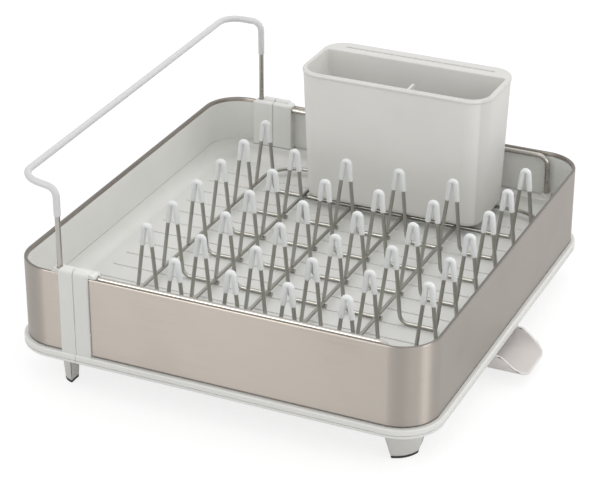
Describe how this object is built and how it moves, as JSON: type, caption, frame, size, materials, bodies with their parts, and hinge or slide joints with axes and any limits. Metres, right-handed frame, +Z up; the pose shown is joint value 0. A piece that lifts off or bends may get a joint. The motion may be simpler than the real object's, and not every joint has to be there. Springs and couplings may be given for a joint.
{
  "type": "expandable dish drainer",
  "caption": "Steel-walled dish drainer whose left end slides out on rods, with a wire plate rack, a cutlery cup, a raised rail, splayed feet and a swivelling drain spout.",
  "frame": {"origin": "on the ground, under the middle of the whole closed object with its spout pointing right", "axes": "+Z up, +X along the sliding direction towards the spout end, +Y from the front wall to the back wall where the cup stands"},
  "size_m": [0.3274, 0.326, 0.1564],
  "materials": {
    "steel": "brushed along the walls, warm",
    "rod": "polished rod",
    "wire": "satin wire",
    "body_plastic": "pale grey, fine satin texture",
    "cup_plastic": "pale grey, fine satin texture",
    "spout_plastic": "pale warm grey, smooth",
    "foot_plastic": "grey, smooth",
    "tip_rubber": "dipped soft tips, satin",
    "sleeve_plastic": "white coating, soft gloss",
    "pad_rubber": "black, matte"
  },
  "bodies": {
    "main": {"main_frame": "body_plastic", "main_band": "steel", "main_base": "body_plastic", "foot_front_right": "foot_plastic", "foot_back_right": "foot_plastic", "foot_pad_front_right": "pad_rubber", "foot_pad_back_right": "pad_rubber"},
    "extension": {"extension_frame": "body_plastic", "extension_band": "steel", "extension_base": "body_plastic", "sliding_tray": "body_plastic", "side_rail_front": "rod", "side_rail_back": "rod", "foot_front_left": "foot_plastic", "foot_back_left": "foot_plastic", "foot_pad_front_left": "pad_rubber", "foot_pad_back_left": "pad_rubber"},
    "plate_rail": {"raised_rail": "rod", "raised_rail_sleeve": "sleeve_plastic"},
    "rack": {"rack_perimeter": "wire", "rack_cross_wire_1": "wire", "rack_cross_wire_2": "wire", "rack_cross_wire_3": "wire", "rack_cross_wire_4": "wire", "tine_row_1": "wire", "tine_row_2": "wire", "tine_row_3": "wire", "tine_row_4": "wire", "tine_row_5": "wire", "tine_row_6": "wire", "tine_row_7": "wire", "tine_caps_1": "tip_rubber", "tine_caps_2": "tip_rubber", "tine_caps_3": "tip_rubber", "tine_caps_4": "tip_rubber", "tine_caps_5": "tip_rubber", "tine_caps_6": "tip_rubber", "tine_caps_7": "tip_rubber"},
    "cup": {"cutlery_cup": "cup_plastic"},
    "divider": {"cup_divider": "cup_plastic"},
    "outlet": {"spout": "spout_plastic", "spout_retainer": "spout_plastic"}
  },
  "joints": [
    {"name": "extension_slide", "type": "slide", "parent": "main", "child": "extension", "axis": [-1, 0, 0], "range_m": [0, 0.16]},
    {"name": "plate_rail_lift", "type": "slide", "parent": "extension", "child": "plate_rail", "axis": [0, 0, 1], "range_m": [0, 0.04]},
    {"name": "rack_lift", "type": "slide", "parent": "main", "child": "rack", "axis": [0, 0, 1], "range_m": [0, 0.06]},
    {"name": "cup_lift", "type": "slide", "parent": "rack", "child": "cup", "axis": [0, 0, 1], "range_m": [0, 0.06]},
    {"name": "divider_lift", "type": "slide", "parent": "cup", "child": "divider", "axis": [0, 0, 1], "range_m": [0, 0.105]},
    {"name": "spout_swivel", "type": "hinge", "parent": "main", "child": "outlet", "pos_m": [0.11125, -0.0115, 0.0225], "axis": [0, 0, 1], "range_deg": [-90, 90]}
  ]
}
